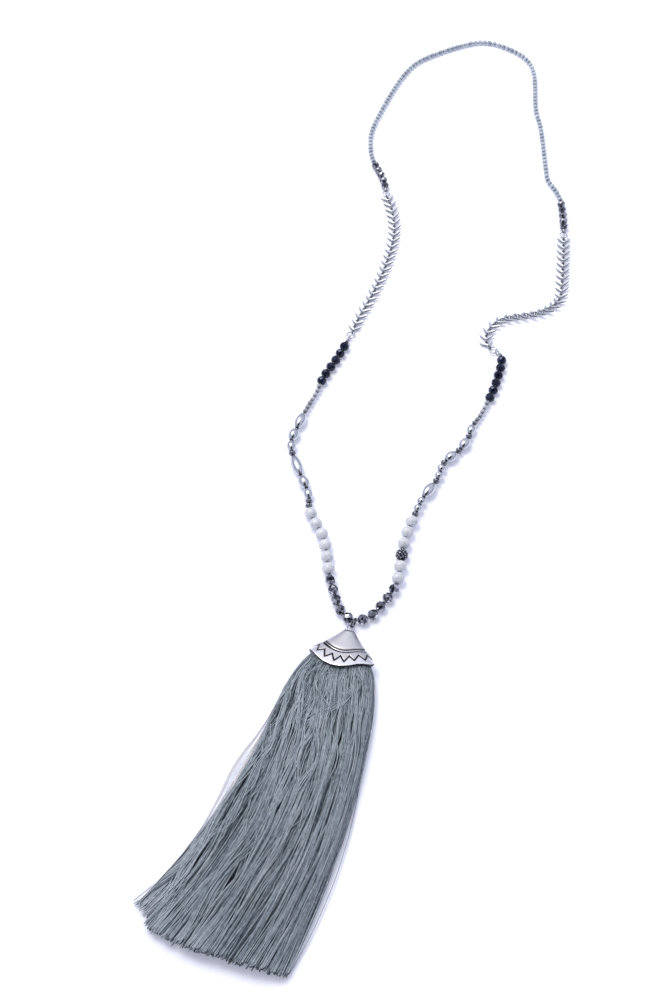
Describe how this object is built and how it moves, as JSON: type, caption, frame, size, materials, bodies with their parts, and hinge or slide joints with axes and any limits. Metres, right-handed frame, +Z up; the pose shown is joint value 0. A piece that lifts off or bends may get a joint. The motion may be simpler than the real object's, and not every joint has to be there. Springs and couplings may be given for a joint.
{
  "type": "tassel necklace",
  "caption": "Long beaded necklace in one closed loop with leaf link chains, a flat cone cap and a long thread tassel, laid flat.",
  "frame": {"origin": "centre of the bounding box in X and Y, on the table that the necklace lies on", "axes": "+Z up from the table, +Y from the tassel's cut ends to the stretch behind the neck, +X to the right in the picture"},
  "size_m": [0.1989, 0.5527, 0.011],
  "materials": {
    "hematite": "faceted, mirror polished",
    "howlite": "polished stone",
    "sparkle": "dark metal set with tiny stones",
    "glass": "opaque faceted glass, polished",
    "antique_silver": "bright with darkened hollows",
    "dark_spacer": "oxidised",
    "grey_seed": "glossy glass seed beads",
    "fire": "faceted glass, metallic flashes",
    "pale_seed": "clear pale glass seed beads",
    "thread": "waxed beading thread",
    "chain_silver": "bright plated",
    "finding": "bright wire",
    "bail_steel": "dark wire",
    "cap_silver": "satin with darkened lines",
    "tassel_thread": "rayon threads, soft sheen"
  },
  "bodies": {
    "root": {"hematite_l1": "hematite", "hematite_l2": "hematite", "hematite_l3": "hematite", "hematite_l4": "hematite", "hematite_l5": "hematite", "hematite_r1": "hematite", "hematite_r2": "hematite", "hematite_r3": "hematite", "hematite_r4": "hematite", "hematite_r5": "hematite", "howlite_l1": "howlite", "howlite_l2": "howlite", "howlite_l3": "howlite", "howlite_l4": "howlite", "howlite_l5": "howlite", "howlite_l6": "howlite", "howlite_r1": "howlite", "howlite_r2": "howlite", "howlite_r3": "howlite", "howlite_r4": "howlite", "howlite_r5": "howlite", "sparkle_r1": "sparkle", "glass_l1": "glass", "glass_l2": "glass", "glass_l3": "glass", "glass_l4": "glass", "glass_l5": "glass", "glass_l6": "glass", "glass_r1": "glass", "glass_r2": "glass", "glass_r3": "glass", "glass_r4": "glass", "glass_r5": "glass", "glass_r6": "glass", "silver_beads_left": "antique_silver", "silver_beads_right": "antique_silver", "spacer_beads_left": "dark_spacer", "spacer_beads_right": "dark_spacer", "grey_seeds_left": "grey_seed", "grey_seeds_right": "grey_seed", "fire_beads_left": "fire", "fire_beads_right": "fire", "neck_seeds": "pale_seed", "drop_thread": "thread", "neck_thread": "thread", "chain_left": "chain_silver", "chain_right": "chain_silver", "jump_ring_left": "finding", "jump_ring_right": "finding", "low_loop_left": "finding", "low_loop_right": "finding", "high_loop_left": "finding", "high_loop_right": "finding", "bail": "bail_steel", "eye_pin": "finding", "tassel_cap": "cap_silver", "tassel": "tassel_thread"}
  },
  "joints": []
}
